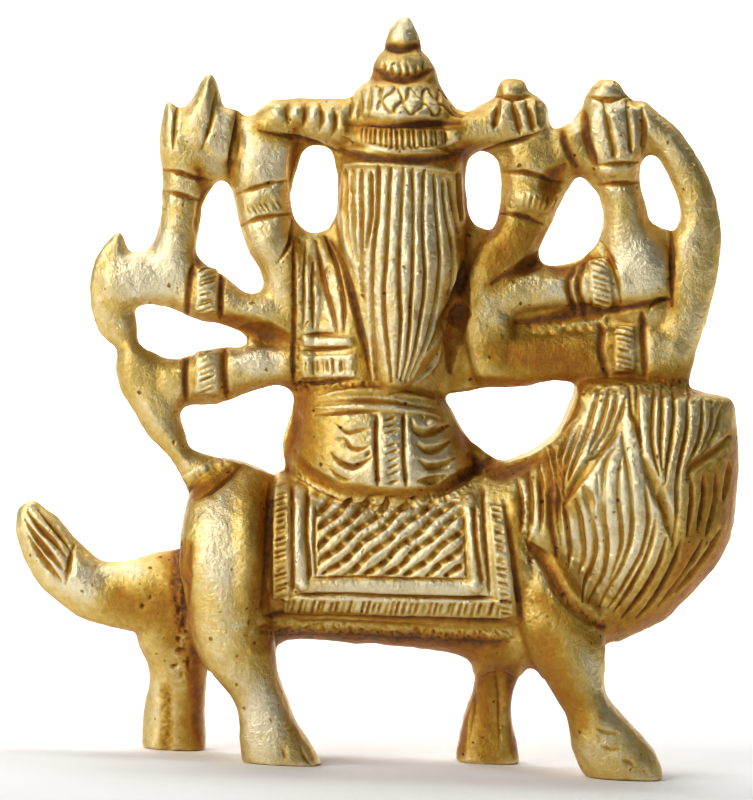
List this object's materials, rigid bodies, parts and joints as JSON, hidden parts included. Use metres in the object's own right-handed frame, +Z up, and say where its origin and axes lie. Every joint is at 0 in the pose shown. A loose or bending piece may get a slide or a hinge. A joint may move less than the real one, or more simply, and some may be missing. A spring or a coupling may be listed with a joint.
{
  "type": "cast brass durga figure",
  "caption": "Small solid-cast brass figure of a many-armed goddess seated on a walking lion, with a tiered crown, weapons in her raised hands and a patterned saddle cloth.",
  "frame": {"origin": "on the surface the lion stands on, below the middle of the figure's bounding box", "axes": "+Z up along the goddess, +X towards the lion's head end, +Y the way the goddess and the lion's face look, so that her back with the long hair is on -Y"},
  "size_m": [0.087, 0.0268, 0.09],
  "materials": {
    "cast_brass": "sand-cast brass, hand-chased and lightly rubbed bright on the high parts, with orange-brown patina and small casting pits in the recesses"
  },
  "bodies": {
    "root": {"durga_on_lion": "cast_brass"}
  },
  "joints": []
}
